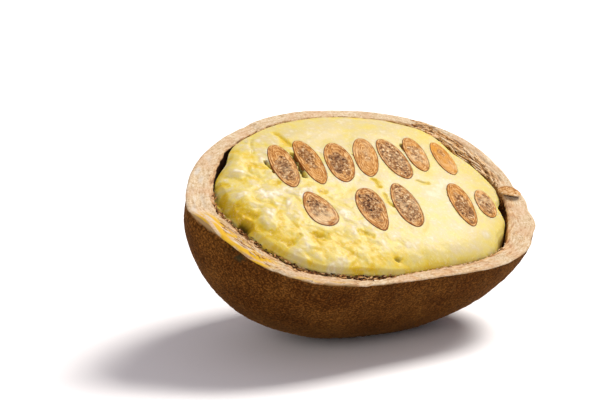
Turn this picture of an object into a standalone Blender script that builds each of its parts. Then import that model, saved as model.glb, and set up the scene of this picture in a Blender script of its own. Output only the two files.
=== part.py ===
"""Half a cupuacu fruit, cut lengthwise: the woody rind, the pulp that fills it and the seeds the knife went through.

Metres, +Z up, with the origin at the middle of the bounding box's base. The fruit is modelled in a frame of its
own: the cut face is the plane z = 0 with the belly below it, +X is the blunt end, -X the pointed end and +Y the
back. An empty then leans that frame over, and a small flat spot on the belly is what the half rests on.
"""

from math import asin, atan2, cos, hypot, pi, radians, sin, sqrt
from typing import NamedTuple

import bmesh
import bpy
from mathutils import Matrix, Vector

MM = 0.001

# Outside of the fruit
HALF_LENGTH = 85.5 * MM
HALF_WIDTH = 59.5 * MM
DEPTH = 68 * MM
FRONT_SHARE = 0.90  # the front is a little flatter than the back
ROUNDNESS = 2.1  # 2 is an ellipse, more is fuller
WIDTH_TAPER = 0.11
DEPTH_TAPER = 0.04
POINT_LOSS = 0.40  # how much of its width the pointed end loses
POINT_REACH = 16  # the higher, the closer to the tip that loss stays
WAVE_FADE = 4  # the higher, the closer to the cut the waves stay

# Cut face
PULP_GAP = 0.3 * MM
CROWN = 5.5 * MM  # the pulp stands this far above the rim in the middle
CROWN_FLATNESS = 4.0
EDGE_DROP = 1.5 * MM  # the pulp's edge lies this far below the rim
BLUNT_DROP = 2.5 * MM  # and this much further at the blunt end
SEED_DEPTH = 9 * MM

# Torn strip of lining that stands on the rim at the blunt end
STRIP_SIZE = Vector((3.2, 11.0, 4.0)) * MM
STRIP_PLACE = Vector((78.0, -6.3, 1.0)) * MM
STRIP_TURN = radians(24)

# How it rests
LEAN = radians(30)
DIP = radians(3)
FLAT_DEPTH = 1.8 * MM
FLOOR_BLOCK = 100 * MM

RIND_SIDES = 48
SEED_SIDES = 16


class Walls(NamedTuple):
    """Distance in from the fruit's outside at each of its sides."""

    blunt: float
    pointed: float
    back: float
    front: float
    bottom: float


class Wave(NamedTuple):
    """A slow wave round the fruit: how many crests it has, how high they are and where one of them is."""

    crests: int
    height: float
    place: float


class Seed(NamedTuple):
    """A cut seed: the middle of its section on the cut face, the section's length and width, and its slant."""

    x: float
    y: float
    length: float
    width: float
    slant: float


OUTSIDE = Walls(0, 0, 0, 0, 0)
RIND_WALLS = Walls(12 * MM, 12.5 * MM, 5.5 * MM, 5 * MM, 7 * MM)
PULP_WALLS = Walls(*(wall + PULP_GAP for wall in RIND_WALLS))

# No fruit is an even oval
WAVES = (
    Wave(3, 1.2 * MM, radians(-62)),
    Wave(4, 1.0 * MM, radians(-144)),
    Wave(5, 1.2 * MM, radians(145)),
)

# In millimetres and degrees, from the pointed end to the blunt one
SEEDS_BACK = (
    Seed(-32.0, 20.7, 29.7, 12.2, -1),
    Seed(-18.1, 21.1, 30.0, 11.5, -6),
    Seed(-3.9, 19.1, 27.3, 13.8, -18),
    Seed(11.0, 21.0, 27.0, 12.1, -13),
    Seed(25.0, 18.7, 28.6, 12.8, -3),
    Seed(38.3, 21.1, 24.7, 10.9, -12),
    Seed(52.5, 18.2, 24.6, 10.6, -11),
)
SEEDS_FRONT = (
    Seed(-27.8, -8.6, 22.5, 13.6, 0),
    Seed(-2.3, -11.7, 27.2, 13.8, -5),
    Seed(15.9, -11.4, 27.9, 12.8, 1),
    Seed(45.3, -13.5, 27.9, 11.5, -2),
    Seed(59.2, -13.0, 17.9, 11.0, -3),
)


def clear_scene():
    """Removes what the scene holds, so that the script can run again."""
    for item in list(bpy.data.objects):
        bpy.data.objects.remove(item, do_unlink=True)


def new_collection(name, parent):
    """A new collection in another one."""
    collection = bpy.data.collections.new(name)
    parent.children.link(collection)
    return collection


def new_material(name, colour, roughness):
    """A plain Principled material."""
    material = bpy.data.materials.new(name)
    material.use_nodes = True
    shader = material.node_tree.nodes["Principled BSDF"]
    shader.inputs["Base Color"].default_value = (*colour, 1)
    shader.inputs["Roughness"].default_value = roughness
    shader.inputs["Metallic"].default_value = 0
    return material


def wave_push(x, y):
    """How far the waves push the fruit's outside out in the plan direction (x, y), for each unit of it."""
    angle = atan2(y, x)
    height = sum(wave.height * cos(wave.crests * angle - wave.place) for wave in WAVES)
    return height * hypot(x, y) ** (WAVE_FADE - 1)


def fruit_point(direction, walls):
    """The point where the fruit's surface, moved in by the walls, meets a unit direction from its middle."""
    x, y, z = direction
    push = wave_push(x, y)
    size = sum(abs(part) ** ROUNDNESS for part in direction) ** (1 / ROUNDNESS)
    loss = POINT_LOSS * ((1 - x) / 2) ** POINT_REACH
    length = HALF_LENGTH - (walls.blunt if x > 0 else walls.pointed)
    width = HALF_WIDTH - walls.back if y > 0 else HALF_WIDTH * FRONT_SHARE - walls.front
    depth = DEPTH - walls.bottom
    return Vector(
        (
            length * x / size + push * x,
            width * y / size * (1 + WIDTH_TAPER * x - loss) + push * y,
            depth * z / size * (1 + DEPTH_TAPER * x - loss),
        )
    )


def sunk_direction(x, y, sink):
    """The unit direction above or below (x, y) whose downward part is sink."""
    flat = hypot(x, y)
    if flat == 0:
        return Vector((0, 0, -1))
    ring = sqrt(max(0, 1 - sink * sink)) / flat
    return Vector((x * ring, y * ring, -sink))


def edge_drop(x, y):
    """How far the pulp's edge lies below the rim in the plan direction (x, y)."""
    return EDGE_DROP + BLUNT_DROP * max(0, x / hypot(x, y)) ** 3


def pulp_point(direction):
    """The pulp's surface: the rind's inside below its edge, and a low flat-topped crown above it."""
    x, y, z = direction
    reach = hypot(x, y)
    if reach < 1e-6:
        return Vector((0, 0, CROWN)) if z > 0 else fruit_point(Vector((0, 0, -1)), PULP_WALLS)
    drop = edge_drop(x, y)
    sink = drop / (DEPTH - PULP_WALLS.bottom)
    if z <= 0:
        return fruit_point(sunk_direction(x, y, sink - z * (1 - sink)), PULP_WALLS)
    edge = fruit_point(sunk_direction(x, y, sink), PULP_WALLS)
    rise = (drop + CROWN) * sqrt(1 - reach**CROWN_FLATNESS)
    return Vector((edge.x * reach, edge.y * reach, edge.z + rise))


def crown_height(x, y):
    """The pulp's height above the cut plane at (x, y)."""
    edge = fruit_point(Vector((x, y, 0)).normalized(), PULP_WALLS)
    reach = min(1, hypot(x, y) / hypot(edge.x, edge.y))
    drop = edge_drop(x, y)
    return (drop + CROWN) * sqrt(1 - reach**CROWN_FLATNESS) - drop


def unit_sphere(sides):
    """A unit sphere as a bmesh, with a ring of points on its equator."""
    shape = bmesh.new()
    bmesh.ops.create_uvsphere(shape, u_segments=sides, v_segments=sides // 2, radius=1)
    return shape


def finish_mesh(name, shape, sharp_angle=radians(40)):
    """Turns a bmesh into a smooth-shaded mesh with its faces out."""
    bmesh.ops.recalc_face_normals(shape, faces=shape.faces)
    mesh = bpy.data.meshes.new(name)
    shape.to_mesh(mesh)
    shape.free()
    mesh.shade_smooth()
    mesh.set_sharp_from_angle(angle=sharp_angle)
    return mesh


def add_object(name, mesh, collection, parent=None, material=None):
    """Puts a mesh in the scene as an object."""
    item = bpy.data.objects.new(name, mesh)
    collection.objects.link(item)
    item.parent = parent
    if material:
        mesh.materials.append(material)
    return item


def add_cutter(name, mesh, collection, parent=None):
    """An object that only shapes others."""
    cutter = add_object(name, mesh, collection, parent)
    cutter.hide_render = True
    cutter.display_type = "WIRE"
    return cutter


def add_boolean(item, operation, other):
    """A Boolean modifier with one object, or with all those of a collection."""
    modifier = item.modifiers.new(operation.title(), "BOOLEAN")
    modifier.operation = operation
    if isinstance(other, bpy.types.Collection):
        modifier.operand_type = "COLLECTION"
        modifier.collection = other
    else:
        modifier.object = other


def rind_point(direction):
    """The rind's surface: the sphere's lower half is the outside, and its upper half is pushed in as the inside.

    The first ring above the equator becomes the rim's inner edge.
    """
    x, y, z = direction
    if z < 1e-6:
        return fruit_point(direction, OUTSIDE)
    first_ring = 2 * pi / RIND_SIDES
    latitude = (asin(min(1, z)) - first_ring) / (pi / 2 - first_ring) * pi / 2
    return fruit_point(sunk_direction(x, y, sin(latitude)), RIND_WALLS)


def rind_mesh():
    """The rind: outside, flat cut rim and inside."""
    shape = unit_sphere(RIND_SIDES)
    for vertex in shape.verts:
        vertex.co = rind_point(vertex.co)
    return finish_mesh("rind", shape)


def pulp_mesh(name):
    """The pulp before its seeds are taken out of it."""
    shape = unit_sphere(RIND_SIDES)
    for vertex in shape.verts:
        vertex.co = pulp_point(vertex.co)
    return finish_mesh(name, shape)


def strip_mesh():
    """A bar with rounded edges."""
    shape = bmesh.new()
    bmesh.ops.create_cube(shape, size=1)
    bmesh.ops.scale(shape, vec=STRIP_SIZE, verts=shape.verts)
    bmesh.ops.bevel(shape, geom=shape.edges, offset=1 * MM, segments=2, profile=0.5, affect="EDGES")
    return finish_mesh("strip", shape)


def seed_mesh(name, seed, gap):
    """A whole seed, or the socket it sits in when there is a gap round it."""
    shape = unit_sphere(SEED_SIDES)
    size = Vector((seed.width / 2 * MM, seed.length / 2 * MM, SEED_DEPTH)) + Vector((gap, gap, gap))
    bmesh.ops.scale(shape, vec=size, verts=shape.verts)
    return finish_mesh(name, shape)


def place_seed(item, seed):
    """Sets a seed's widest section level with the pulp's surface."""
    x, y = seed.x * MM, seed.y * MM
    item.location = (x, y, crown_height(x, y))
    item.rotation_euler.z = radians(seed.slant)


def lean_matrix(outside):
    """Leans the fruit over and moves it, so that the flat spot is at z = 0 and the box's base is centred."""
    turn = Matrix.Rotation(DIP, 4, "Y") @ Matrix.Rotation(LEAN, 4, "X")
    points = [turn @ vertex.co for vertex in outside.vertices]
    low = Vector([min(point[axis] for point in points) for axis in range(3)])
    high = Vector([max(point[axis] for point in points) for axis in range(3)])
    middle = (low + high) / 2
    return Matrix.Translation((-middle.x, -middle.y, -low.z - FLAT_DEPTH)) @ turn


def floor_mesh():
    """A block whose top takes the flat spot off the belly."""
    shape = bmesh.new()
    bmesh.ops.create_cube(shape, size=FLOOR_BLOCK)
    bmesh.ops.translate(shape, vec=(0, 0, -FLOOR_BLOCK / 2), verts=shape.verts)
    return finish_mesh("floor", shape)


def make_rind(fruit, parts, cutters):
    """The rind, with the torn strip grown out of its rim and the flat spot under it."""
    material = new_material("felted woody rind", (0.17, 0.085, 0.04), 0.95)
    rind = add_object("rind", rind_mesh(), parts, fruit, material)
    strip = add_cutter("lining_strip", strip_mesh(), cutters, fruit)
    strip.location = STRIP_PLACE
    strip.rotation_euler.z = STRIP_TURN
    block = add_cutter("floor", floor_mesh(), cutters)
    add_boolean(rind, "UNION", strip)
    add_boolean(rind, "DIFFERENCE", block)
    return rind


def make_pulp(fruit, parts, sockets):
    """The pulp, with a socket for each seed."""
    material = new_material("wet fibrous pulp", (0.84, 0.74, 0.36), 0.45)
    pulp = add_object("pulp", pulp_mesh("pulp"), parts, fruit, material)
    add_boolean(pulp, "DIFFERENCE", sockets)
    return pulp


def make_seeds(fruit, parts, cutters, sockets):
    """The cut seeds, each in its socket and cut off level with the pulp."""
    material = new_material("cut seed", (0.33, 0.16, 0.07), 0.6)
    blank = add_cutter("pulp_blank", pulp_mesh("pulp_blank"), cutters, fruit)
    for row, seeds in (("back", SEEDS_BACK), ("front", SEEDS_FRONT)):
        for number, seed in enumerate(seeds, 1):
            name = f"seed_{row}_{number}"
            whole = add_object(name, seed_mesh(name, seed, 0), parts, fruit, material)
            socket = add_cutter(f"{name}_socket", seed_mesh(f"{name}_socket", seed, PULP_GAP), sockets, fruit)
            place_seed(whole, seed)
            place_seed(socket, seed)
            add_boolean(whole, "INTERSECT", blank)


def main():
    """Builds the half fruit."""
    clear_scene()
    parts = new_collection("cupuacu_fruit_half", bpy.context.scene.collection)
    cutters = new_collection("cutters", bpy.context.scene.collection)
    sockets = new_collection("seed_sockets", cutters)
    fruit = add_object("fruit", None, parts)
    rind = make_rind(fruit, parts, cutters)
    fruit.matrix_world = lean_matrix(rind.data)
    make_pulp(fruit, parts, sockets)
    make_seeds(fruit, parts, cutters, sockets)


main()
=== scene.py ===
"""Looks of a cupuacu fruit cut lengthwise: felted rind with its torn rim, wet lumpy pulp and cut seeds.

The shapes are worked out in millimetres in the fruit's own frame: the cut face is the plane z = 0 with the
belly below it, +X is the blunt end, -X the pointed end and +Y the back. One matrix then leans them over into
the row frame.
Angles round the fruit are in degrees from the blunt end: 90 is the back, 180 the pointed end, -90 the front.
"""

from itertools import product
from math import cos, pi, radians, sin
from typing import NamedTuple

import bpy
import numpy as np
from mathutils import Matrix, Vector


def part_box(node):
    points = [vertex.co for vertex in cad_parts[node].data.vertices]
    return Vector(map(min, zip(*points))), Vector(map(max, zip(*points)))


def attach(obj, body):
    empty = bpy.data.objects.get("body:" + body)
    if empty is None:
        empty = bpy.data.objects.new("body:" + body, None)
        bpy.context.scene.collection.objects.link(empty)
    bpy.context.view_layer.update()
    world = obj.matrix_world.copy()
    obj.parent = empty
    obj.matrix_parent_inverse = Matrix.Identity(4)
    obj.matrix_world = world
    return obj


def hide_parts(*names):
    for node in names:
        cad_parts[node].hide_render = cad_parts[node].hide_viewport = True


bl_info = {
    "name": "Cut cupuacu half",
    "version": (1, 1, 0),
    "blender": (4, 5, 0),
    "location": "View3D > Sidebar > Cupuacu",
    "description": "Felted rind, wet pulp and cut seeds of a cupuacu fruit halved lengthwise",
    "category": "Add Mesh",
}

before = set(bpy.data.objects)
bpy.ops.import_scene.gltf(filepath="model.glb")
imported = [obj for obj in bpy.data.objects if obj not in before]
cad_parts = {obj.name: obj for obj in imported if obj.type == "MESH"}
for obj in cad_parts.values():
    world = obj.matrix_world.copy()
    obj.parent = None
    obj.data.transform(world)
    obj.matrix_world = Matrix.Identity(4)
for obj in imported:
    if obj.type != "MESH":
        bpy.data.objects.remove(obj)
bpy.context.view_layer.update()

MM = 0.001

# The fruit's outside, in millimetres, as its solids have it
HALF_LENGTH = 85.5
HALF_WIDTH = 59.5
DEPTH = 68.0
FRONT_SHARE = 0.9
ROUNDNESS = 2.1
WIDTH_TAPER = 0.11
DEPTH_TAPER = 0.04
POINT_LOSS = 0.4
POINT_REACH = 16
WAVES = ((3, 1.2, -62), (4, 1.0, -144), (5, 1.2, 145))  # crests, height and the angle of one crest
WAVE_FADE = 4
LEAN = radians(30)
DIP = radians(3)

# Distance in from the outside, in millimetres: blunt end, pointed end, back, front, bottom
OUTSIDE = (0.0, 0.0, 0.0, 0.0, 0.0)
RIND_WALLS = (12.0, 12.5, 5.5, 5.0, 7.0)
PULP_GAP = 0.3
PULP_WALLS = tuple(wall + PULP_GAP for wall in RIND_WALLS)
RIND_DEPTH = DEPTH - RIND_WALLS[-1]
PULP_DEPTH = DEPTH - PULP_WALLS[-1]
CROWN = 5.5
CROWN_FLATNESS = 4.0
EDGE_DROP = 1.5
BLUNT_DROP = 2.5
SEED_DEPTH = 9.0

# Angles round the fruit, and how much farther out than in the solids the rim's inner edge lies there
EDGE_SHIFTS = (
    (0, 3.0), (9, 1.8), (20, 0.0), (38, 3.0), (60, 1.0), (100, 0.0), (128, 0.8), (146, 2.6), (153, 2.0),
    (161, 1.3), (170, 0.2), (178, -1.0), (190, -0.6), (203, 0.7), (213, 1.1), (223, 0.6), (236, 0.9),
    (249, 1.7), (275, 0.8), (300, 0.0), (332, -1.0), (339, -2.4), (345, -1.2), (360, 3.0),
)

# The photograph's camera, measured from the middle of the cut face
PHOTO_WIDTH = 600
CAMERA_AWAY = 900.0
CAMERA_AZIMUTH = radians(-30)
CAMERA_HEIGHT = radians(15)
MIDDLE_PIXEL = (61.4, 0.7)
PIXELS_PER_MM = 2.244
SENSOR_MM = 36.0


def linear_colour(code):
    """An sRGB hex code as linear red, green, blue and alpha."""
    parts = [int(code[place : place + 2], 16) / 255 for place in (1, 3, 5)]
    return (*(part / 12.92 if part <= 0.04045 else ((part + 0.055) / 1.055) ** 2.4 for part in parts), 1.0)


def per_size(millimetres):
    """The texture scale that repeats about once in a size."""
    return 1 / (millimetres * MM)


# Noise


def cell_values(cells, seed):
    """A repeatable number from -1 to 1 for each whole cell, by mixing its coordinates as 32-bit numbers."""
    x, y, z = (cells[..., axis].astype(np.uint32) for axis in range(3))
    mixed = x * np.uint32(374761393) + y * np.uint32(668265263) + z * np.uint32(3266489917)
    mixed = mixed + np.uint32(seed * 974634777 % 2**32)
    mixed = (mixed ^ (mixed >> np.uint32(13))) * np.uint32(1274126177)
    mixed = (mixed ^ (mixed >> np.uint32(16))) * np.uint32(2246822519)
    return (mixed ^ (mixed >> np.uint32(13))) / 2**31 - 1


def noise(points, size, seed):
    """Smooth noise of about -1 to 1: a random slope at each lattice point, blended by a smooth step."""
    spot = points / np.asarray(size, float) + 31.7 * seed
    cell = np.floor(spot)
    away = spot - cell
    blend = away**3 * (away * (away * 6 - 15) + 10)
    total = np.zeros(spot.shape[:-1])
    for corner in product((0, 1), repeat=3):
        weight = np.prod(np.where(np.array(corner), blend, 1 - blend), axis=-1)
        lattice = cell.astype(np.int64) + np.array(corner)
        offset = away - np.array(corner)
        total += weight * sum(cell_values(lattice, 3 * seed + axis) * offset[..., axis] for axis in range(3))
    return 1.6 * total


def layered_noise(points, size, seed, layers=3):
    """Noise with finer and weaker layers added, each of half the size and strength of the one before."""
    size = np.asarray(size, float)
    total = sum(noise(points, size / 2**layer, seed + layer) / 2**layer for layer in range(layers))
    return total / (2 - 2 ** (1 - layers))


def puffs(points, size, seed):
    """Rounded lumps with creases between them: noise without its sign, moved to about -0.3 to 0.7."""
    return np.abs(noise(points, size, seed)) - 0.3


def ramp(values, start, end):
    """0 before start and 1 after end, with a smooth step between them. start may be larger than end."""
    blend = np.clip((values - start) / (end - start), 0, 1)
    return blend * blend * (3 - 2 * blend)


def bump(values, centre, width):
    """A soft bump of height 1 at centre."""
    return np.exp(-(((values - centre) / width) ** 2))


def angle_from(angle, centre):
    """Degrees from centre to angle, the short way round. angle is in radians and centre in degrees."""
    return (np.degrees(angle) - centre + 180) % 360 - 180


def between(angle, start, end, soft):
    """1 from start to end degrees and 0 outside, with soft degrees of slope at both ends."""
    middle, half = (start + end) / 2, (end - start) / 2
    return ramp(np.abs(angle_from(angle, middle)), half + soft, half)


def bumps_round(angle, places):
    """Soft bumps round the fruit, added up. places gives the angle, height and width of each."""
    return sum(height * bump(angle_from(angle, at), 0, width) for at, height, width in places)


def stacked(*columns):
    """Points from their columns of numbers."""
    return np.stack(np.broadcast_arrays(*columns), axis=-1)


def unit(vectors):
    """Vectors at length 1."""
    return vectors / np.maximum(1e-9, np.linalg.norm(vectors, axis=-1, keepdims=True))


def quarter_turn(along):
    """The level direction a quarter turn to the left of another."""
    return stacked(-along[..., 1], along[..., 0], 0.0)


def even_steps(rows):
    """Even steps from just after 0 up to 1, as one column."""
    return np.linspace(0, 1, rows + 1)[1:, None]


def full_turn(columns):
    """Angles once round, as one row."""
    return np.linspace(0, 2 * pi, columns, endpoint=False)[None, :]


def on_plane(x, y):
    """Points on the cut plane."""
    return stacked(x, y, 0.0)


# Shape of the fruit


def fruit_surface(direction, walls):
    """The fruit's surface in unit directions: an ellipsoid with sections a little fuller than ellipses.

    Its width and depth grow evenly towards the blunt end and shrink quickly near the pointed tip. Slow waves
    round the fruit push it out and in, less and less towards the belly.
    """
    x, y, z = np.moveaxis(direction, -1, 0)
    blunt, pointed, back, front, bottom = walls
    size = (np.abs(direction) ** ROUNDNESS).sum(-1) ** (1 / ROUNDNESS)
    loss = POINT_LOSS * ((1 - x) / 2) ** POINT_REACH
    length = HALF_LENGTH - np.where(x > 0, blunt, pointed)
    width = np.where(y > 0, HALF_WIDTH - back, HALF_WIDTH * FRONT_SHARE - front)
    angle = np.arctan2(y, x)
    wave = sum(height * np.cos(crests * angle - radians(place)) for crests, height, place in WAVES)
    push = wave * np.hypot(x, y) ** (WAVE_FADE - 1)
    return stacked(
        length * x / size + push * x,
        width * y / size * (1 + WIDTH_TAPER * x - loss) + push * y,
        (DEPTH - bottom) * z / size * (1 + DEPTH_TAPER * x - loss),
    )


def sunk_direction(angle, sink):
    """Unit directions with a plan angle whose downward part is sink."""
    ring = np.sqrt(np.maximum(0, 1 - sink**2))
    return stacked(ring * np.cos(angle), ring * np.sin(angle), -sink)


def edge_drop(angle):
    """How far the pulp's edge lies below the rim."""
    return EDGE_DROP + BLUNT_DROP * np.maximum(0, np.cos(angle)) ** 3


def crown_rise(reach, angle):
    """The pulp's height over its edge: flat in the middle, rounded off at the edge."""
    return (edge_drop(angle) + CROWN) * np.sqrt(np.maximum(0, 1 - reach**CROWN_FLATNESS))


def plan_angle(points):
    """The angle round the fruit at which points lie."""
    return np.arctan2(points[..., 1], points[..., 0])


def edge_shift(angle):
    """How much farther out than in the solids the rim's inner edge lies, in between the measured places."""
    places, shifts = np.array(EDGE_SHIFTS).T
    return np.interp(np.degrees(angle) % 360, places, shifts)


def pulp_edge(turn):
    """The pulp's edge in a direction: beside the rim, a little below it."""
    return fruit_surface(sunk_direction(turn, edge_drop(turn) / PULP_DEPTH), PULP_WALLS)


def pulp_radius(angle):
    """How far from the middle the pulp's edge lies at an angle round the fruit."""
    edge = pulp_edge(np.linspace(-pi, pi, 1441))
    return np.interp(angle, plan_angle(edge), np.hypot(edge[:, 0], edge[:, 1])) + edge_shift(angle)


def crown_height(x, y):
    """The smooth pulp's height over the cut plane."""
    angle = np.arctan2(y, x)
    reach = np.minimum(1, np.hypot(x, y) / pulp_radius(angle))
    return crown_rise(reach, angle) - edge_drop(angle)


def turn_matrix():
    """The lean to the front, then the dip of the blunt end."""
    return np.array(Matrix.Rotation(DIP, 3, "Y") @ Matrix.Rotation(LEAN, 3, "X"))


def find_middle():
    """The middle of the cut face in the row frame, in millimetres, from the box of the rind's solid."""
    angle = np.linspace(0, 2 * pi, 721)[None, :]
    sink = np.sin(np.linspace(0, pi / 2, 181))[:, None]
    outside = fruit_surface(sunk_direction(angle, sink), OUTSIDE) @ TURN.T
    low, high = (np.array(corner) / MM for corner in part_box("rind"))
    own_low, own_high = outside.min((0, 1)), outside.max((0, 1))
    middle = (low + high - own_low - own_high) / 2
    middle[2] = high[2] - own_high[2]
    return middle


TURN = turn_matrix()
MIDDLE = find_middle()


def to_row(points):
    """Millimetres in the fruit's frame to metres in the row frame, with nothing below the floor."""
    placed = (points @ TURN.T + MIDDLE) * MM
    placed[..., 2] = np.maximum(placed[..., 2], 0)
    return placed


def to_fruit(points):
    """Metres in the row frame to millimetres in the fruit's frame."""
    return (points / MM - MIDDLE) @ TURN


# Meshes


def flat_list(grid):
    """A grid of rings as a list of points, with one point for each end row."""
    return np.concatenate([grid[:1, 0], grid[1:-1].reshape(-1, *grid.shape[2:]), grid[-1:, 0]])


def closed_faces(rows, columns):
    """Faces over a grid of rings whose first and last rows are single points."""
    ring = np.arange(columns)
    after = (ring + 1) % columns
    start = 1 + np.arange(rows - 3)[:, None] * columns
    quads = np.stack([start + ring, start + columns + ring, start + columns + after, start + after], axis=-1)
    last = 1 + (rows - 3) * columns
    top = np.stack([np.zeros_like(ring), 1 + ring, 1 + after], axis=-1)
    bottom = np.stack([last + ring, np.full_like(ring, last + columns), last + after], axis=-1)
    return [*top.tolist(), *quads.reshape(-1, 4).tolist(), *bottom.tolist()]


def grid_normals(points):
    """Unit normals of a grid of rings, from the differences of neighbours along its rows and columns."""
    down = np.gradient(points, axis=0)
    around = np.roll(points, -1, axis=1) - np.roll(points, 1, axis=1)
    return unit(np.cross(down, around))


def add_object(name, data):
    """Puts a new object into the scene."""
    thing = bpy.data.objects.new(name, data)
    bpy.context.scene.collection.objects.link(thing)
    return thing


def add_piece(name, points, faces, materials, values, replaced=()):
    """Adds a mesh with its materials and point values, and ties it to the frame."""
    mesh = bpy.data.meshes.new(name)
    mesh.from_pydata(points.tolist(), [], faces)
    for label, numbers in values.items():
        flat = np.ascontiguousarray(numbers, dtype=np.float32)
        kind, field = ("FLOAT", "value") if flat.ndim == 1 else ("FLOAT_VECTOR", "vector")
        mesh.attributes.new(label, kind, "POINT").data.foreach_set(field, flat.ravel())
    for material in materials:
        mesh.materials.append(material)
    mesh.shade_smooth()
    piece = add_object(name, mesh)
    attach(piece, "root")
    if replaced:
        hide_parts(*replaced)
    return piece


def add_ring_piece(name, grid, materials, values, replaced=()):
    """Adds a closed piece from a grid of rings in the fruit's frame, with values on the same grid."""
    shape = grid.shape[:2]
    for label, numbers in values.items():
        values[label] = flat_list(np.broadcast_to(numbers, shape + numbers.shape[2:]))
    return add_piece(name, to_row(flat_list(grid)), closed_faces(*shape), materials, values, replaced)


# Materials


def new_material(name):
    """An empty node material, and its object coordinates."""
    material = bpy.data.materials.new(name)
    material.use_nodes = True
    material.node_tree.nodes.clear()
    return material, add_node(material, "TexCoord")["Object"]


def add_node(material, kind, inputs=None, stops=(), **settings):
    """Adds a shader node and gives its outputs. stops are the places and colours of a colour ramp.

    inputs are its sockets' values, or outputs to link. A hex code stands for a colour.
    """
    node = material.node_tree.nodes.new("ShaderNode" + kind)
    for label, value in settings.items():
        setattr(node, label, value)
    for place, _ in stops[1:-1]:
        node.color_ramp.elements.new(place)
    for number, (place, colour) in enumerate(stops):
        element = node.color_ramp.elements[number]
        element.position = place
        element.color = linear_colour(colour) if isinstance(colour, str) else colour
    for label, value in (inputs or {}).items():
        socket = node.inputs[label]
        if isinstance(value, bpy.types.NodeSocket):
            material.node_tree.links.new(value, socket)
        else:
            socket.default_value = linear_colour(value) if isinstance(value, str) else value
    return node.outputs


def finish_material(material, colour, roughness, normal, **values):
    """Ends a material in a Principled shader. values are constants on its sockets, with _ for a space."""
    inputs = {label.replace("_", " "): value for label, value in values.items()}
    inputs.update({"Base Color": colour, "Roughness": roughness, "Normal": normal})
    shader = add_node(material, "BsdfPrincipled", inputs)
    add_node(material, "OutputMaterial", {"Surface": shader["BSDF"]})
    return material


def felt_material(colours):
    """Felt of short stellate hairs on a woody skin: deep brown with a fine speckle of light and dark tufts.

    Slow clouds and faint streaks keep it from looking even, and sheen gives the pale edge where hair tips
    catch light.
    """
    felt, place = new_material("brown_fruit_felt")
    bare, scuff = (add_node(felt, "Attribute", attribute_name=name)["Fac"] for name in ("bare", "scuff"))
    along = add_node(felt, "Attribute", attribute_name="along")["Vector"]
    cloud = add_node(felt, "TexNoise", {"Vector": place, "Scale": per_size(18), "Detail": 3.0})["Fac"]
    tuft = add_node(felt, "TexNoise", {"Vector": place, "Scale": per_size(0.85), "Detail": 2.0})["Fac"]
    streak = add_node(felt, "TexNoise", {"Vector": along, "Scale": 1.0, "Detail": 3.0})["Fac"]
    patches = [(0.36, colours.felt_dark), (0.64, colours.felt_light)]
    ground = add_node(felt, "ValToRGB", {"Fac": cloud}, patches)["Color"]
    tufts = [(0.36, (0.4, 0.36, 0.3, 1)), (0.52, (1.0, 1.0, 1.0, 1)), (0.68, (2.4, 2.5, 2.6, 1))]
    speck = add_node(felt, "ValToRGB", {"Fac": tuft}, tufts)["Color"]
    tone = add_node(felt, "Mix", {0: 0.8, 6: ground, 7: speck}, data_type="RGBA", blend_type="MULTIPLY")[2]
    wear = {"Value": streak, "From Min": 0.54, "From Max": 0.74, "To Max": 0.14}
    worn = add_node(felt, "MapRange", wear)[0]
    for share, colour in ((worn, "#7d5f36"), (scuff, "#30301f"), (bare, "#a88a60")):
        tone = add_node(felt, "Mix", {0: share, 6: tone, 7: colour}, data_type="RGBA")[2]
    nap = add_node(felt, "Bump", {"Strength": 0.6, "Distance": 0.3 * MM, "Height": tuft})["Normal"]
    sheen = {"Sheen_Weight": 0.25, "Sheen_Roughness": 0.3, "Sheen_Tint": "#b98a52"}
    return finish_material(felt, tone, 0.95, nap, **sheen, Specular_IOR_Level=0.03)


def rim_material(colours):
    """Cut woody rind: pale tan and finely granular, with short strokes of fibre and small brown pores.

    Smears of yellow pulp, ochre and brown where it is torn, whitish patches, and the near-black painted shade
    in its holes, in the creases of its torn band and along the gap beside the pulp come from the mesh.
    """
    wood, place = new_material("cut_rind_wood")
    along = add_node(wood, "Attribute", attribute_name="along")["Vector"]
    names = ("smear", "torn", "chalk", "dark")
    smear, torn, chalk, dark = (add_node(wood, "Attribute", attribute_name=name)["Fac"] for name in names)
    strokes = {"Vector": along, "Scale": 1.0, "Detail": 4.0, "Roughness": 0.6}
    fibre = add_node(wood, "TexNoise", strokes)["Fac"]
    grain, pore, blush = (
        add_node(wood, "TexNoise", {"Vector": place, "Scale": per_size(size), "Detail": detail})["Fac"]
        for size, detail in ((0.9, 3), (1.6, 2), (8, 2))
    )
    texture = add_node(wood, "Mix", {0: 0.5, 2: fibre, 3: grain})[0]
    tans = [(0.32, "#9a7a58"), (0.43, "#bba381"), (0.52, colours.rim), (0.66, "#d8cdb9")]
    tone = add_node(wood, "ValToRGB", {"Fac": texture}, tans)["Color"]
    browns = [(0.36, "#7c4828"), (0.44, "#b07a4a"), (0.52, "#c59a63"), (0.64, "#d9bf94")]
    strand = add_node(wood, "ValToRGB", {"Fac": fibre}, browns)["Color"]
    pink = add_node(wood, "MapRange", {"Value": blush, "From Min": 0.45, "From Max": 0.68, "To Max": 0.4})[0]
    hole = add_node(wood, "MapRange", {"Value": pore, "From Min": 0.68, "From Max": 0.78, "To Max": 0.5})[0]
    # dark is painted shade: near black in the holes, in the creases of the torn band and along the gap beside
    # the pulp
    coats = (
        (pink, "#c39a78"), (chalk, "#cbc6bc"), (torn, strand), (smear, "#cfa41f"), (hole, "#74492a"),
        (dark, "#34180a"),
    )
    for share, colour in coats:
        tone = add_node(wood, "Mix", {0: share, 6: tone, 7: colour}, data_type="RGBA")[2]
    rough = add_node(wood, "Bump", {"Strength": 0.45, "Distance": 0.25 * MM, "Height": texture})["Normal"]
    return finish_material(wood, tone, 0.8, rough, Specular_IOR_Level=0.1)


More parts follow.
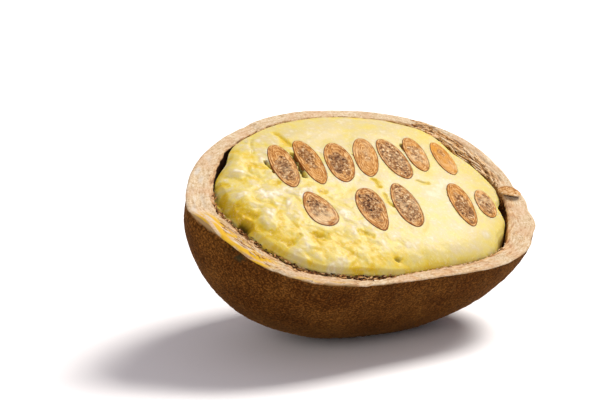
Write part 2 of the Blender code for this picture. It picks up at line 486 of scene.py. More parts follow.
def lining_material():
    """Torn fibrous lining: dry chestnut to straw-coloured strands with fine lines, darker where its tint is
    low; beside the pulp's gap and under the splinter that darkening is painted shade.
    """
    lining, place = new_material("torn_fruit_lining")
    tint = add_node(lining, "Attribute", attribute_name="tint")["Fac"]
    strand = add_node(lining, "TexNoise", {"Vector": place, "Scale": per_size(0.8), "Detail": 3.0})["Fac"]
    shade = add_node(lining, "Math", {0: strand, 1: tint}, operation="ADD")[0]
    straws = [(0.2, "#2f1609"), (0.42, "#6d3f1b"), (0.6, "#b07c40"), (0.78, "#cda674"), (1.0, "#dcc6a6")]
    tone = add_node(lining, "ValToRGB", {"Fac": shade}, straws)["Color"]
    rough = add_node(lining, "Bump", {"Strength": 0.5, "Distance": 0.2 * MM, "Height": strand})["Normal"]
    return finish_material(lining, tone, 0.75, rough, Specular_IOR_Level=0.12)


def pulp_material(colours):
    """Wet fibrous flesh: cream and golden where it is ripest, with light let into it. Deeper yellow in its
    creases, at its edge and along its front is painted shade, and its paler lump tops are painted highlights.

    Short pale threads and slow clouds break it up. ripe, with its painted shade and highlights, and the dark
    painted shade of the slits come from the mesh.
    """
    pulp, place = new_material("wet_fruit_pulp")
    ripeness_and_shade, painted_slit_shade = (add_node(pulp, "Attribute", attribute_name=name)["Fac"] for name in ("ripeness_and_shade", "painted_slit_shade"))
    cloud = add_node(pulp, "TexNoise", {"Vector": place, "Scale": per_size(7), "Detail": 4.0})["Fac"]
    fine = {"Vector": place, "Scale": per_size(1.5), "Detail": 4.0, "Distortion": 1.2}
    thread = add_node(pulp, "TexNoise", fine)["Fac"]
    spread = {"Value": cloud, "From Min": 0.3, "From Max": 0.7, "To Min": -0.11, "To Max": 0.11}
    total = add_node(pulp, "Math", {0: add_node(pulp, "MapRange", spread)[0], 1: ripeness_and_shade}, operation="ADD")[0]
    yellows = [
        (0, "#dedac4"), (0.25, colours.pulp), (0.5, "#cdbc68"), (0.75, colours.pulp_deep), (1, "#c8a613")
    ]
    tone = add_node(pulp, "ValToRGB", {"Fac": total}, yellows)["Color"]
    pale = add_node(pulp, "MapRange", {"Value": thread, "From Min": 0.54, "From Max": 0.72, "To Max": 0.3})[0]
    # The slits' near-black colour is painted shade in the marks' cracks and pits
    for share, colour in ((pale, "#dcd7bd"), (painted_slit_shade, "#2b1a0b")):
        tone = add_node(pulp, "Mix", {0: share, 6: tone, 7: colour}, data_type="RGBA")[2]
    soft = add_node(pulp, "Bump", {"Strength": 0.3, "Distance": 0.3 * MM, "Height": thread})["Normal"]
    wet = {"IOR": 1.36, "Specular_IOR_Level": 0.3, "Coat_Weight": 0.06, "Coat_Roughness": 0.25}
    deep = {"Subsurface_Weight": 0.75, "Subsurface_Radius": (1.0, 0.8, 0.3), "Subsurface_Scale": 2.5 * MM}
    return finish_material(pulp, tone, 0.45, soft, **deep, **wet)


def seed_material(colours):
    """A seed cut through: folded kernel marbled in brown and cream inside a tan margin and a thin dark skin.

    The margin's fine strokes follow the skin: their noise is read round the seed and in from its edge.
    """
    seed, place = new_material("cut_seed_kernel")
    around = add_node(seed, "Attribute", attribute_name="around")["Vector"]
    names = ("edge", "core", "amber", "dusk", "rings", "pale")
    read = {name: add_node(seed, "Attribute", attribute_name=name)["Fac"] for name in names}
    folds = {"Vector": place, "Scale": per_size(1.25), "Detail": 4.0, "Roughness": 0.75, "Distortion": 0.5}
    fold = add_node(seed, "TexNoise", folds)["Fac"]
    stroke = add_node(seed, "TexNoise", {"Vector": around, "Scale": 1.0, "Detail": 2.0})["Fac"]
    marbling = [(0.36, "#1d0c05"), (0.43, "#663a1a"), (0.49, "#a06e3c"), (0.55, "#c0935c"), (0.62, "#e4d2ac")]
    kernel = add_node(seed, "ValToRGB", {"Fac": fold}, marbling)["Color"]
    dusky = {0: read["dusk"], 6: kernel, 7: "#9a8478"}
    kernel = add_node(seed, "Mix", dusky, data_type="RGBA", blend_type="MULTIPLY")[2]
    strokes = [(0.36, "#8a5424"), (0.5, colours.seed_margin), (0.64, "#d8b27a")]
    tone = add_node(seed, "ValToRGB", {"Fac": stroke}, strokes)["Color"]
    shell = {"Value": read["edge"], "From Min": 0.55, "From Max": 0.2, "To Max": 0.8}
    skin = add_node(seed, "MapRange", shell)[0]
    coats = {"core": kernel, "amber": "#c88a2c", "pale": "#dcc59c", "rings": "#63330f"}
    for name, colour in coats.items():
        tone = add_node(seed, "Mix", {0: read[name], 6: tone, 7: colour}, data_type="RGBA")[2]
    tone = add_node(seed, "Mix", {0: skin, 6: tone, 7: colours.seed_skin}, data_type="RGBA")[2]
    rough = add_node(seed, "Bump", {"Strength": 0.35, "Distance": 0.25 * MM, "Height": fold})["Normal"]
    return finish_material(seed, tone, 0.6, rough, Specular_IOR_Level=0.08)


def floor_material(colours):
    """Matt white studio board."""
    board, place = new_material("studio_board")
    grain = add_node(board, "TexNoise", {"Vector": place, "Scale": per_size(2), "Detail": 2.0})["Fac"]
    even = add_node(board, "Bump", {"Strength": 0.02, "Distance": 0.1 * MM, "Height": grain})["Normal"]
    return finish_material(board, colours.floor, 0.7, even, Specular_IOR_Level=0.2)


# Rind

INSIDE_ROWS = 6
LIP_ROWS = 12
RIM_ROWS = 30
OUTSIDE_ROWS = 86
RIND_COLUMNS = 700
RING_RADIUS = 70.0
LIP_DEPTH = 12.0
TORN_BAND = (4, 37)  # from and to which angle the rim is torn at the blunt end

# Kinks and bulges of the rim's outer edge: angle, how far out and how wide in degrees
KINKS = (
    (158, 1.5, 20.0), (184, -2.4, 5.0), (194, -1.8, 7.0), (217, 0.4, 9.0),
    (0, -0.9, 2.5), (-6, 0.7, 3.0), (-11, -0.8, 2.5), (-17, 0.8, 4.0), (-23, -0.7, 3.0),
)

# Flakes lifted off the front of the rim: start and end angle, how high, and how far in they reach
FLAKES = ((-148, -137, 0.8, 0.5), (-131, -120, 0.9, 0.45), (-112, -100, 0.5, 0.5), (166, 176, 0.6, 0.4))

# Holes in the torn band at the blunt end, sunk and filled with near-black painted shade: middle and radius,
# in millimetres
HOLES = (
    (59.6, 40.6, 1.0), (61.7, 36.1, 1.3), (62.5, 28.2, 1.2), (63.2, 21.9, 1.3), (74.3, 11.6, 1.5),
    (78.5, -4.5, 2.0),
)
HOLE_DEPTH = 2.2

# A greenish scuff on the felt
SCUFF_PLACE = (-75.0, -25.5, -2.5)
SCUFF_SIZE = (5.5, 5.5, 4.0)


def ring_place(angle, across):
    """Places for noise that runs round the rim: on a circle, with the distance across the rim as height."""
    return stacked(RING_RADIUS * np.cos(angle), RING_RADIUS * np.sin(angle), across)


def rim_edges(angle, rough):
    """Outer and inner edges of the rim, each wandering a little as the knife and the torn fibres left it."""
    level = sunk_direction(angle, np.zeros_like(angle))
    outer, inner = fruit_surface(level, OUTSIDE), fruit_surface(level, RIND_WALLS)
    outward = unit(outer)
    plan = plan_angle(outer)
    ring = ring_place(plan, 0.0)
    outer_way = 0.15 + 0.3 * layered_noise(ring, 6, 11) - 0.4 * ramp(noise(ring, 8, 13), 0.35, 0.7)
    outer_way = outer_way + bumps_round(plan, KINKS)
    inner_way = edge_shift(plan) + 0.55 * layered_noise(ring, 5, 17) + 0.35 * noise(ring, 1.6, 19)
    return outer + rough * outer_way[..., None] * outward, inner + rough * inner_way[..., None] * outward


def rim_height(angle, share, wall):
    """Height of the rim over the cut plane.

    Slow waves, fine grain, layers of fibre, lifted flakes, a step at the back and rolled-off edges add up.
    """
    ring = ring_place(angle, share * wall)
    waves = 0.4 * layered_noise(ring, (22, 22, 9), 23, 2)
    grain = 0.14 * layered_noise(ring, (3.2, 3.2, 1.4), 29, 2)
    layered = 0.35 + 0.65 * between(angle, -160, -40, 20) + between(angle, 2, 40, 6)
    layers = 0.2 * layered * layered_noise(ring, (6, 6, 1.1), 31, 2)
    flaky = between(angle, 158, 215, 14) * 0.7 * puffs(ring, (6, 6, 3.5), 33)
    step = -0.3 * ramp(angle_from(angle, 119), 0, 2.5) * ramp(angle_from(angle, 160), 10, -12)
    step = step + 0.3 * ramp(angle_from(angle, 119), 2.5, 0) * ramp(angle_from(angle, 80), -10, 20)
    lifted = sum(
        high * between(angle, start, end, 2) * ramp(share, far, far - 0.12)
        for start, end, high, far in FLAKES
    )
    rubble = 1.3 * puffs(ring, (11, 11, 2.2), 35) + 0.6 * layered_noise(ring, (6, 6, 0.9), 36, 2) - 0.3
    band = rubble * between(angle, *TORN_BAND, 3) * ramp(share, 0.25, 0.5)
    outer_roll = 1.8 * bump(angle_from(angle, 184), 0, 6) * ramp(share, 0.8, 0.0)
    outer_roll = outer_roll - 0.45 * ramp(share, 0.08, 0.0)
    inner_roll = -(0.4 + 0.5 * noise(ring, (7, 7, 3), 37)) * ramp(share, 0.85, 1.0)
    return waves + grain + layers + flaky + step + lifted + band + outer_roll + inner_roll - 0.3


def hole_share(x, y):
    """1 in the torn band's dark holes and 0 outside them."""
    return sum(ramp(np.hypot(x - at_x, y - at_y), radius, 0.45 * radius) for at_x, at_y, radius in HOLES)


def lip_share(depth):
    """1 at the cut and 0 from the lip's depth down: how much a shift of the inner edge still tells there."""
    return ramp(depth, LIP_DEPTH, 0)[..., None]


def rind_grid(rough):
    """The rind as rings: from the middle of its inside up to the rim, over it and down the outside."""
    turn = full_turn(RIND_COLUMNS)
    lip_sink = LIP_DEPTH / RIND_DEPTH
    deep = np.linspace(1, lip_sink, INSIDE_ROWS, endpoint=False)[:, None]
    lip = lip_sink * (1 - np.linspace(0, 1, LIP_ROWS, endpoint=False)[:, None]) ** 1.5
    sink = np.concatenate([deep, lip])
    level = sunk_direction(turn, np.zeros((1, 1)))
    outer, inner = rim_edges(turn[0], rough)
    angle = plan_angle(outer)[None, :]
    share = np.linspace(1, 0, RIM_ROWS)[:, None]
    rim = outer * (1 - share[..., None]) + inner * share[..., None]
    wall = np.linalg.norm(outer - inner, axis=-1)[None, :]
    holes = np.minimum(1, hole_share(rim[..., 0], rim[..., 1]))
    rim[..., 2] += rough * rim_height(angle, share, wall) - HOLE_DEPTH * holes
    inside = fruit_surface(sunk_direction(turn, sink), RIND_WALLS)
    inside = inside + lip_share(sink * RIND_DEPTH) * (rim[0] - fruit_surface(level, RIND_WALLS)[0])[None]
    latitude = pi / 2 * even_steps(OUTSIDE_ROWS) ** 1.25
    outside = fruit_surface(sunk_direction(turn, np.sin(latitude)), OUTSIDE)
    near_rim = ramp(-outside[..., 2], 3.0, 0.0)[..., None]
    outside = outside + near_rim * (rim[-1] - fruit_surface(level, OUTSIDE)[0])[None]
    return angle, inside, rim, outside


def add_felt(rim, outside, relief):
    """Pushes the outside out and in by tufts of hair and by shallow dents."""
    below = -outside[..., 2]
    normal = grid_normals(np.concatenate([rim[-1:], outside]))[1:]
    away = ramp(below, 0.5, 3.0)
    nap = 0.16 * noise(outside, 2.4, 41) + 0.12 * noise(outside, 1.5, 43)
    dents = 0.5 * layered_noise(outside, 22, 47, 2) * ramp(below, 2, 14)
    return outside + (relief * nap * away + dents + 0.1 * away)[..., None] * normal


def rim_values(angle, share, ring, place):
    """What the rim's wood reads: yellow smears, torn fibre, whitish patches, and in dark the painted shade of
    its holes, of its torn band's creases and of the gap along its inner edge.
    """
    streak = noise(ring, (7, 7, 2.6), 67)
    left = 0.95 * between(angle, 183, 206, 5) * ramp(share, 0.9, 0.6) * ramp(streak, -0.35, 0.1)
    front = 0.5 * between(angle, 206, 232, 8) * ramp(share, 0.35, 0.15)
    smear = np.maximum(left, front * ramp(streak, -0.05, 0.35))
    patch = noise(ring, (5, 5, 2.5), 71)
    band = between(angle, *TORN_BAND, 4) * ramp(share + 0.35 * patch, 0.36, 0.6)
    band = band * (0.7 + 0.5 * noise(ring, (4, 4, 2), 75))
    gap_side = 0.5 * between(angle, 138, 176, 8) * ramp(share + 0.2 * patch, 0.78, 1.0)
    front_side = 0.5 * between(angle, 200, 330, 15) * ramp(patch, -0.3, 0.5) + 0.7 * ramp(share, 0.8, 1.0)
    blunt = 0.5 * between(angle, -32, 2, 6) * ramp(share + 0.4 * patch, 0.6, 0.9)
    torn = np.clip(np.maximum.reduce([band, gap_side, front_side, blunt]), 0, 1)
    chalk = 0.65 * between(angle, 156, 196, 12) * ramp(noise(ring, (7, 7, 3), 73), 0.0, 0.45)
    chalk = chalk * ramp(share, 0.75, 0.5)
    # Painted shade along the rim's inner edge from the pointed end round to the front, and in the gap from
    # 141 to 166 degrees
    painted_edge_shade = ramp(share + 0.1 * noise(ring, (2, 2, 1), 79), 0.95, 1.0)
    painted_edge_shade = 0.5 * between(angle, 176, 262, 10) * painted_edge_shade
    painted_edge_shade = painted_edge_shade + 0.9 * between(angle, 141, 166, 3) * ramp(share, 0.96, 1.0)
    # Painted shade in the creases between the torn band's lumps
    painted_crease_shade = 0.45 * ramp(puffs(ring, (11, 11, 2.2), 35), -0.12, -0.27)
    painted_crease_shade = painted_crease_shade * between(angle, *TORN_BAND, 3) * ramp(share, 0.4, 0.6)
    dark = np.maximum.reduce([np.minimum(1, hole_share(place[..., 0], place[..., 1])), painted_edge_shade, painted_crease_shade])
    return {"smear": smear, "torn": torn, "chalk": chalk, "dark": dark}


def make_rind(sizes, colours):
    """The rind's mesh with the values that its felt, its cut rim and its torn lining read."""
    angle, inside, rim, outside = rind_grid(sizes.rim_roughness)
    outside = add_felt(rim, outside, sizes.felt_relief)
    grid = np.concatenate([inside, rim, outside])
    rim_end = len(inside) + RIM_ROWS
    share = np.zeros((len(grid), 1))
    share[: len(inside)] = 1
    share[len(inside) : rim_end, 0] = np.linspace(1, 0, RIM_ROWS)
    wall = np.linalg.norm(rim[0] - rim[-1], axis=-1)[None, :]
    ring = ring_place(angle, share * wall)
    values = rim_values(angle, share, ring, grid)
    ragged = 0.15 + 0.7 * layered_noise(ring_place(angle, 0.0), 4, 53)
    values["bare"] = ramp(-grid[..., 2], ragged + 0.7, ragged) * 0.85
    away = np.linalg.norm((grid - np.array(SCUFF_PLACE)) / np.array(SCUFF_SIZE), axis=-1)
    values["scuff"] = 0.8 * ramp(away + 0.6 * noise(grid, 2.5, 61), 1.0, 0.3)
    hair = grid / np.array([1.6, 1.6, 14])
    on_felt = (np.arange(len(grid)) >= rim_end)[:, None, None]
    values["along"] = np.where(on_felt, hair, ring / np.array([3.5, 3.5, 0.9]))
    # Painted shade: the lining darkens where the pulp has drawn back from the rind, at -10 and from 138 to
    # 168 degrees
    painted_gap_shade = bump(angle, radians(-10), radians(5)) + between(angle, 138, 168, 4)
    values["tint"] = 0.3 * between(angle, -40, 5, 8) - 0.5 * painted_gap_shade - 0.15
    materials = [felt_material(colours), rim_material(colours), lining_material()]
    piece = add_ring_piece("felted_rind", grid, materials, values, ["rind"])
    # Felt is 0, cut wood 1 and lining 2. The rings start with the lining
    finish = np.zeros(len(piece.data.polygons), dtype=np.int32)
    finish[: RIND_COLUMNS * (rim_end - 1)] = 1
    finish[: RIND_COLUMNS * (len(inside) - 2)] = 2
    piece.data.polygons.foreach_set("material_index", finish)
    return piece


# Pulp

PULP_COLUMNS = 640
CROWN_ROWS = 134
SIDE_ROWS = 7
HIDDEN_ROWS = 7
SIDE_DEPTH = 14.0

# Where the pulp has drawn back from the rind: angle, how far in millimetres and how wide in degrees
GAPS = (
    (-10.5, 3.7, 3.4), (-29, 4.0, 5.5), (22, 4.0, 8.0), (152, 2.8, 8.0), (184, 4.2, 9.0), (-150, 2.6, 16.0),
    (-117, 2.8, 16.0),
)

# Marks in the pulp: both ends, width and depth in millimetres, then how yellow and how dark, the dark being
# painted shade in their cracks and pits
MARKS = (
    (-64.7, -8.6, -63.9, -10.8, 5.0, 5.0, 0.3, 0.9),
    (-68.5, 15.0, -68.0, -3.0, 6.0, 2.6, 0.4, 0.0),
    (-64.4, -1.6, -63.0, -3.2, 4.6, 0.72, 0.5, 0.0),
    (-61.5, -5.4, -59.4, -6.6, 4.83, 0.83, 0.5, 0.0),
    (-24.7, 43.9, -22.3, 33.5, 2.76, 0.72, 0.45, 0.0),
    (-38.8, 24.3, -38.2, 17.2, 1.7, 3.0, 0.3, 0.55),
    (-24.2, 27.0, -25.1, 12.2, 2.2, 5.0, 0.1, 1.0),
    (34.2, 27.2, 34.4, 18.2, 2.2, 5.0, 0.1, 1.0),
    (5.6, 23.2, 5.0, 17.0, 1.0, 2.5, 0.1, 0.8),
    (5.0, 17.0, 7.6, 9.5, 1.1, 2.5, 0.1, 0.8),
    (7.8, 6.4, 8.4, 2.0, 2.53, 0.66, 0.45, 0.0),
    (7.9, -4.6, 9.3, -10.8, 2.3, 0.66, 0.35, 0.0),
    (-35.2, -23.8, -33.0, -24.8, 5.06, 0.99, 0.4, 0.1),
    (-21.4, 2.0, -20.6, 1.2, 2.99, 0.39, 0.5, 0.0),
    (-42.0, 9.0, -40.0, 10.0, 3.22, 0.39, 0.5, 0.0),
    (-46.5, 23.6, -45.2, 22.8, 2.53, 0.39, 0.45, 0.0),
    (-42.8, 21.2, -42.0, 20.6, 2.18, 0.39, 0.45, 0.0),
    (-52.4, 15.6, -51.2, 15.0, 2.99, 0.39, 0.45, 0.0),
    (-63.8, 14.6, -62.8, 13.4, 3.45, 0.44, 0.45, 0.0),
    (-38.0, 41.8, -41.7, 31.4, 1.38, 0.55, 0.15, 0.0),
    (-50.5, -25.8, -43.5, -22.3, 2.07, 0.66, 0.25, 0.0),
    (-3.4, -41.0, -1.8, -41.4, 3.0, 1.0, 0.2, 0.5),
    (30.4, 3.4, 33.6, 1.0, 2.3, 0.55, 0.3, 0.0),
    (-14.2, -24.4, -10.6, -27.4, 2.99, 0.55, 0.35, 0.0),
)

# Lobes at the pointed end: middle, radius and height
LOBES = (
    (-60.6, 24.7, 6.0, 1.0),
    (-52.5, 28.5, 6.5, 0.9),
    (-58.9, 8.4, 6.5, 1.2),
    (-71.2, -4.1, 3.5, 1.2),
    (-59.3, 2.1, 4.0, 1.0),
    (-52.0, -12.0, 8.0, 1.1),
    (-38.0, -12.0, 7.0, 0.8),
)


def raggedness(x, y):
    """1 where the pulp was torn, near the pointed end and the front, and less where it was cut clean."""
    return 0.16 + 0.84 * ramp(-0.9 * x - 0.4 * y, -18, 46)


def pulp_lumps(x, y):
    """Lumps on lumps, parted by creases: three sizes of puffs on a warped plane, about -0.6 to 1.2 high."""
    flat = on_plane(x, y)
    bent = flat + 1.8 * on_plane(noise(flat, 7, 101), noise(flat, 7, 102))
    return 1.3 * puffs(bent, 12, 103) + 0.42 * puffs(bent, 5.5, 104) + 0.22 * puffs(bent, 2.6, 105)


def mark_shares(x, y):
    """How deep, how yellow and how dark the marks make the pulp, the dark being painted shade in their cracks
    and pits. Each is a line with soft sides.
    """
    flat = on_plane(x, y)
    x = x + 1.2 * noise(flat, 4, 111) + 0.5 * noise(flat, 1.6, 116)
    y = y + 1.2 * noise(flat, 4, 112) + 0.5 * noise(flat, 1.6, 117)
    depth, yellow, dark = np.zeros_like(x), np.zeros_like(x), np.zeros_like(x)
    for from_x, from_y, to_x, to_y, width, deep, ripeness_and_shade, black in MARKS:
        run_x, run_y = to_x - from_x, to_y - from_y
        along = np.clip(((x - from_x) * run_x + (y - from_y) * run_y) / (run_x**2 + run_y**2), 0, 1)
        away = np.hypot(x - from_x - along * run_x, y - from_y - along * run_y)
        depth = np.maximum(depth, deep * ramp(away, 0.7 * width, 0))
        yellow = np.maximum(yellow, ripeness_and_shade * ramp(away, 1.1 * width, width / 5))
        dark = np.maximum(dark, black * ramp(away, width / 2, width / 6))
    return depth, yellow, dark


def pulp_inset(angle):
    """How far the pulp's edge has drawn back from the rind."""
    ring = ring_place(angle, 0.0)
    return 0.15 + 0.35 * np.maximum(0, layered_noise(ring, 6, 137)) + bumps_round(angle, GAPS)


def make_pulp(sizes, colours, seeds):
    """The pulp as rings: from the crown's middle out to its edge and down under it to the belly."""
    turn = full_turn(PULP_COLUMNS)
    edge = pulp_edge(turn)
    angle = plan_angle(edge)
    drawn = (pulp_inset(angle) - edge_shift(angle)) / np.hypot(edge[..., 0], edge[..., 1])
    reach = 1 - (1 - np.linspace(0, 1, CROWN_ROWS + 1)[:, None]) ** 1.12
    x, y = (edge[..., axis] * (1 - drawn) * reach for axis in range(2))
    nearest = np.min([seed.reach(x, y) for seed in seeds], axis=0)
    calm = ramp(nearest, 1.0, 1.35)
    socket = SEED_DEPTH * np.sqrt(np.maximum(0, 1 - (nearest / 0.96) ** 2))
    depth, yellow, dark = mark_shares(x, y)
    lobes = sum(high * bump(np.hypot(x - at_x, y - at_y), 0, radius) for at_x, at_y, radius, high in LOBES)
    ragged, lumps = raggedness(x, y), pulp_lumps(x, y)
    flat = on_plane(x, y)
    threads = 0.04 * noise(flat @ np.array(Matrix.Rotation(radians(25), 3, "Z")), (1.1, 4.5, 1), 113)
    swell = 0.5 * noise(flat, 20, 114)
    relief = sizes.pulp_relief * (ragged * lumps + lobes + swell + threads)
    keep = 0.25 + 0.75 * ramp(reach, 1.0, 0.92)
    raised = 0.9 * between(angle, 55, 142, 12) * ramp(reach, 0.96, 1.0)
    open_share = ramp(nearest, 0.97, 1.01)
    rolled = -1.3 * ramp(reach, 0.965, 1.0) * np.minimum(1, pulp_inset(angle))
    height = crown_height(x, y) + rolled + raised + relief * calm * keep - depth * open_share - socket
    crown = stacked(x, y, height)
    grid = np.concatenate([crown, pulp_sides(turn, drawn, height[-1])])
    # Painted shade and highlights: the creases between the lumps turn deeper yellow and the lumps' tops paler
    painted_crease_shade = ragged * ramp(lumps, 0.05, -0.4)
    ripeness_and_shade = 0.29 + 0.3 * painted_crease_shade - 0.22 * ragged * ramp(lumps, 0.1, 0.8)
    vein = 1 - np.abs(noise(flat, 9, 118)) / 0.1
    mottle = 0.14 * noise(flat, 14, 115) + 0.22 * noise(flat, 4.5, 119) + 0.18 * noise(flat, 1.8, 120)
    ripeness_and_shade = ripeness_and_shade + mottle * (0.45 + 0.75 * ragged)
    ripeness_and_shade = ripeness_and_shade + 0.1 * np.maximum(0, vein) * ramp(noise(flat, 6, 121), -0.2, 0.3)
    # Painted shade: deeper yellow towards the pulp's edge, where it rolls down beside the rim, and in a band
    # along its front
    ripeness_and_shade = ripeness_and_shade + yellow + 0.05 * ramp(x, 10, 50) + 0.14 * ramp(reach, 0.9, 1.0)
    ripeness_and_shade = np.maximum(ripeness_and_shade + 0.2 * bump(y + 0.35 * x, -42, 9), 0.34 - 0.4 * ragged)
    hidden = np.ones((len(grid) - len(crown), PULP_COLUMNS))
    # Painted shade in the marks' cracks and pits, and none on the hidden rings under the pulp's edge
    painted_slit_shade = np.concatenate([dark * open_share, 0 * hidden])
    values = {"ripeness_and_shade": np.concatenate([ripeness_and_shade, 0.45 * hidden]), "painted_slit_shade": painted_slit_shade}
    return add_ring_piece("wet_pulp", grid, [pulp_material(colours)], values, ["pulp"])


def pulp_sides(turn, drawn, edge_height):
    """The rings under the pulp's edge: down beside the rim, out to the rind's wall and round to the belly."""
    side_sink = edge_drop(turn) / PULP_DEPTH + SIDE_DEPTH / PULP_DEPTH * even_steps(SIDE_ROWS)
    side = fruit_surface(sunk_direction(turn, side_sink), PULP_WALLS)
    side[..., :2] *= 1 - drawn[..., None] * lip_share(side_sink * PULP_DEPTH)
    side[0, :, 2] = np.minimum(side[0, :, 2], edge_height - 0.2)
    deep_sink = side_sink[-1:] + (1 - side_sink[-1:]) * even_steps(HIDDEN_ROWS)
    return np.concatenate([side, fruit_surface(sunk_direction(turn, deep_sink), PULP_WALLS)])


# Seeds

SEED_TOP_ROWS = 44
SEED_UNDER_ROWS = 8
SEED_COLUMNS = 160
SEED_RISE = 0.22  # how far the cut seeds stand over the pulp
SKIN_DEPTH = 0.3  # how far under the pulp's smooth surface their undersides start


class SeedLook(NamedTuple):
    """How one seed differs. taper narrows its upper half and point sharpens its upper end.

    core is the marbled kernel's share of the section and shift moves it up. amber, dusk, rings and pale are
    strengths, and pale_at is how far up it is palest, from -1 to 1. skin is its skin's thickness, and bend is
    how far in millimetres its lower end turns to the right.
    """

    taper: float = 0.0
    point: float = 0.0
    core: float = 0.74
    shift: float = 0.0
    amber: float = 0.0
    dusk: float = 0.0
    rings: float = 0.25
    skin: float = 1.0
    pale: float = 0.0
    pale_at: float = 0.0
    bend: float = 0.0


SEED_LOOKS = {
    "seed_back_1": SeedLook(
        taper=0.04, core=0.62, shift=-0.18, amber=0.1, dusk=0.45, pale=0.25, pale_at=-0.5
    ),
    "seed_back_2": SeedLook(taper=-0.06, core=0.5, shift=0.25, amber=0.25, dusk=0.35),
    "seed_back_3": SeedLook(taper=-0.05, point=0.08, core=0.58, shift=-0.05, amber=0.1, dusk=0.6),
    "seed_back_4": SeedLook(taper=-0.08, core=0.15, shift=0.1, amber=0.25, rings=0.85, pale=0.3, pale_at=0.4),
    "seed_back_5": SeedLook(taper=0.03, core=0.84, shift=0.0, dusk=0.25, rings=0.1, pale=0.2),
    "seed_back_6": SeedLook(taper=0.02, core=0.52, shift=0.05, amber=0.3, dusk=0.1, pale=0.55, pale_at=-0.2),
    "seed_back_7": SeedLook(
        taper=0.05, core=0.34, shift=0.3, amber=0.85, dusk=0.2, rings=0.6, skin=0.5, pale=0.35, pale_at=-0.6
    ),
    "seed_front_1": SeedLook(
        taper=0.24, point=0.12, core=0.52, shift=0.1, dusk=0.45, pale=0.65, pale_at=-0.55
    ),
    "seed_front_2": SeedLook(
        taper=-0.12, point=0.05, core=0.66, shift=0.16, dusk=0.5, rings=0.7, skin=1.2, bend=2.0
    ),
    "seed_front_3": SeedLook(taper=0.06, point=0.14, core=0.8, dusk=0.35, pale=0.3, pale_at=0.1),
    "seed_front_4": SeedLook(taper=-0.05, core=0.7, shift=-0.14, amber=0.3, dusk=0.45),
    "seed_front_5": SeedLook(core=0.66, dusk=0.4, amber=0.15, skin=0.7, pale=0.55, pale_at=0.3),
}


class SeedPlace:
    """A seed's section on the cut face, measured from its solid: the slant is where its box is narrowest."""

    def __init__(self, name):
        self.name = name
        self.look = SEED_LOOKS.get(name, SeedLook())
        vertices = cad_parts[name].data.vertices
        points = np.empty(len(vertices) * 3)
        vertices.foreach_get("co", points)
        plan = to_fruit(points.reshape(-1, 3))[:, :2]
        angles = np.radians(np.arange(-30, 30.5, 0.5))
        across = np.array([plan @ np.array([cos(angle), sin(angle)]) for angle in angles])
        self.slant = angles[np.argmin(across.max(1) - across.min(1))]
        own = plan @ self.axes().T
        low, high = own.min(0), own.max(0)
        self.half_width, self.half_length = (high - low) / 2
        self.x, self.y = self.axes().T @ ((low + high) / 2)
        self.seed = sum(ord(letter) * place for place, letter in enumerate(name, 1))

    def axes(self):
        """Unit vectors across and along the seed."""
        return np.array([[cos(self.slant), sin(self.slant)], [-sin(self.slant), cos(self.slant)]])

    def width_share(self, lengthwise):
        """The section's width at a height from -1 to 1, as a share of an ellipse's."""
        return 1 - self.look.taper * lengthwise - self.look.point * np.maximum(0, lengthwise) ** 4

    def bend_at(self, lengthwise):
        """How far the section is shifted sideways at a height from -1 to 1."""
        return self.look.bend * np.clip(lengthwise, -1.2, 0) ** 2

    def wobble(self, turn):
        """How far the outline stands out of the plain shape at an angle round the seed."""
        phase = self.seed % 7
        slow = 0.014 * np.sin(2 * turn + phase) + 0.012 * np.sin(3 * turn + 2 * phase)
        return 1 + slow + 0.006 * np.sin(7 * turn)

    def reach(self, x, y):
        """0 in the middle of the seed and 1 on its outline."""
        own = stacked(x - self.x, y - self.y) @ self.axes().T
        lengthwise = own[..., 1] / self.half_length
        share = np.maximum(0.2, self.width_share(np.clip(lengthwise, -1.5, 1.1)))
        across = (own[..., 0] - self.bend_at(lengthwise)) / self.half_width / share
        return np.hypot(across, lengthwise) / self.wobble(np.arctan2(lengthwise, across))

    def place(self, reach, turn):
        """The plan place, x and y, for a reach and an angle round the seed."""
        far = reach * self.wobble(turn)
        lengthwise = far * np.sin(turn)
        across = far * np.cos(turn) * self.half_width * self.width_share(lengthwise)
        own = stacked(across + self.bend_at(lengthwise), lengthwise * self.half_length)
        return np.moveaxis(own @ self.axes() + np.array([self.x, self.y]), -1, 0)


def find_seeds():
    """All the seeds of the frame."""
    return [SeedPlace(name) for name in sorted(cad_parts) if name.startswith("seed_")]


